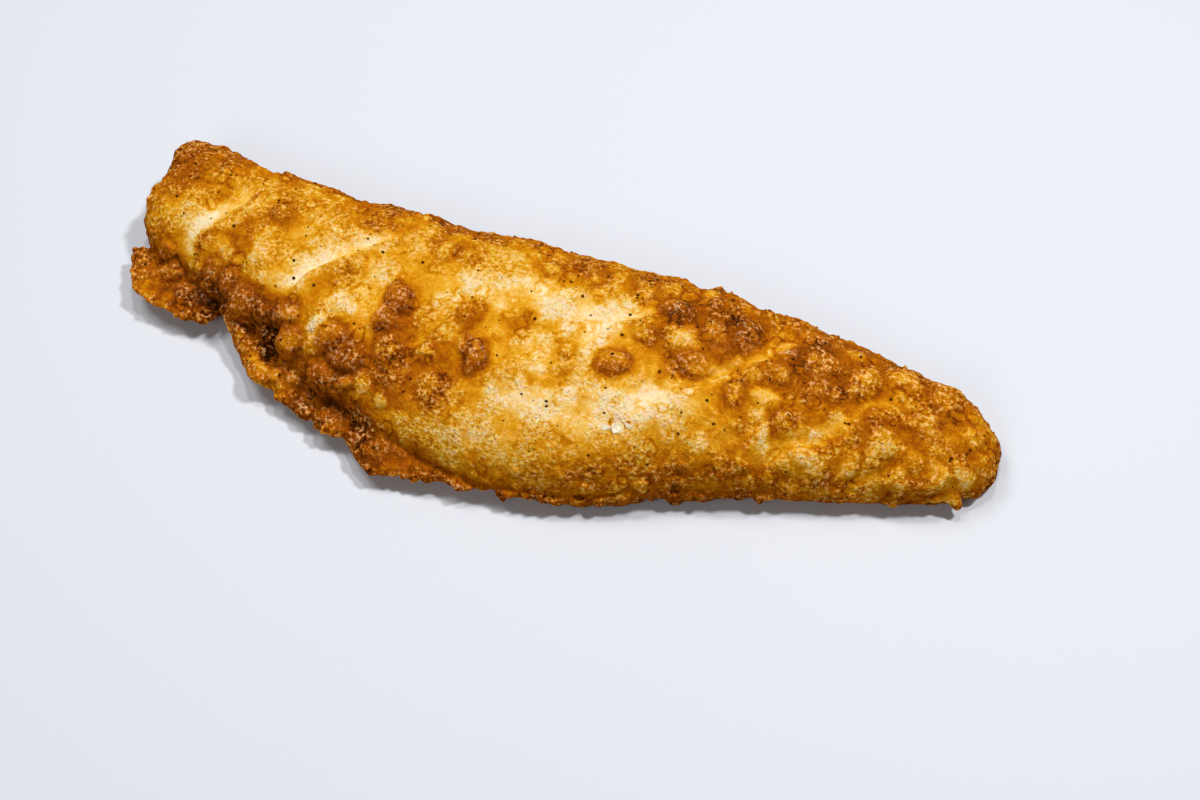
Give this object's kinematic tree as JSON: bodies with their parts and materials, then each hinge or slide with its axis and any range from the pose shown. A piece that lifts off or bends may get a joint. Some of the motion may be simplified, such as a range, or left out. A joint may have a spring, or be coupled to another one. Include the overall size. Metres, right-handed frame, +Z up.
{
  "type": "fried fish fillet",
  "caption": "Long battered and deep-fried fish fillet with a crowned golden crust, diagonal flake folds, blown blisters and a ragged batter rim, lying flat.",
  "frame": {"origin": "centre of the bounding box's bottom face, on the surface the fillet lies on", "axes": "+X along the fillet from the blunt end to the tail end, +Y toward the straight side, away from the rolled side with the batter rim, +Z up out of the shown crust"},
  "size_m": [0.24, 0.077, 0.0255],
  "materials": {
    "fried_batter": "oily satin fried batter, cream to golden to dark brown"
  },
  "bodies": {
    "root": {"battered_fillet": "fried_batter"}
  },
  "joints": []
}
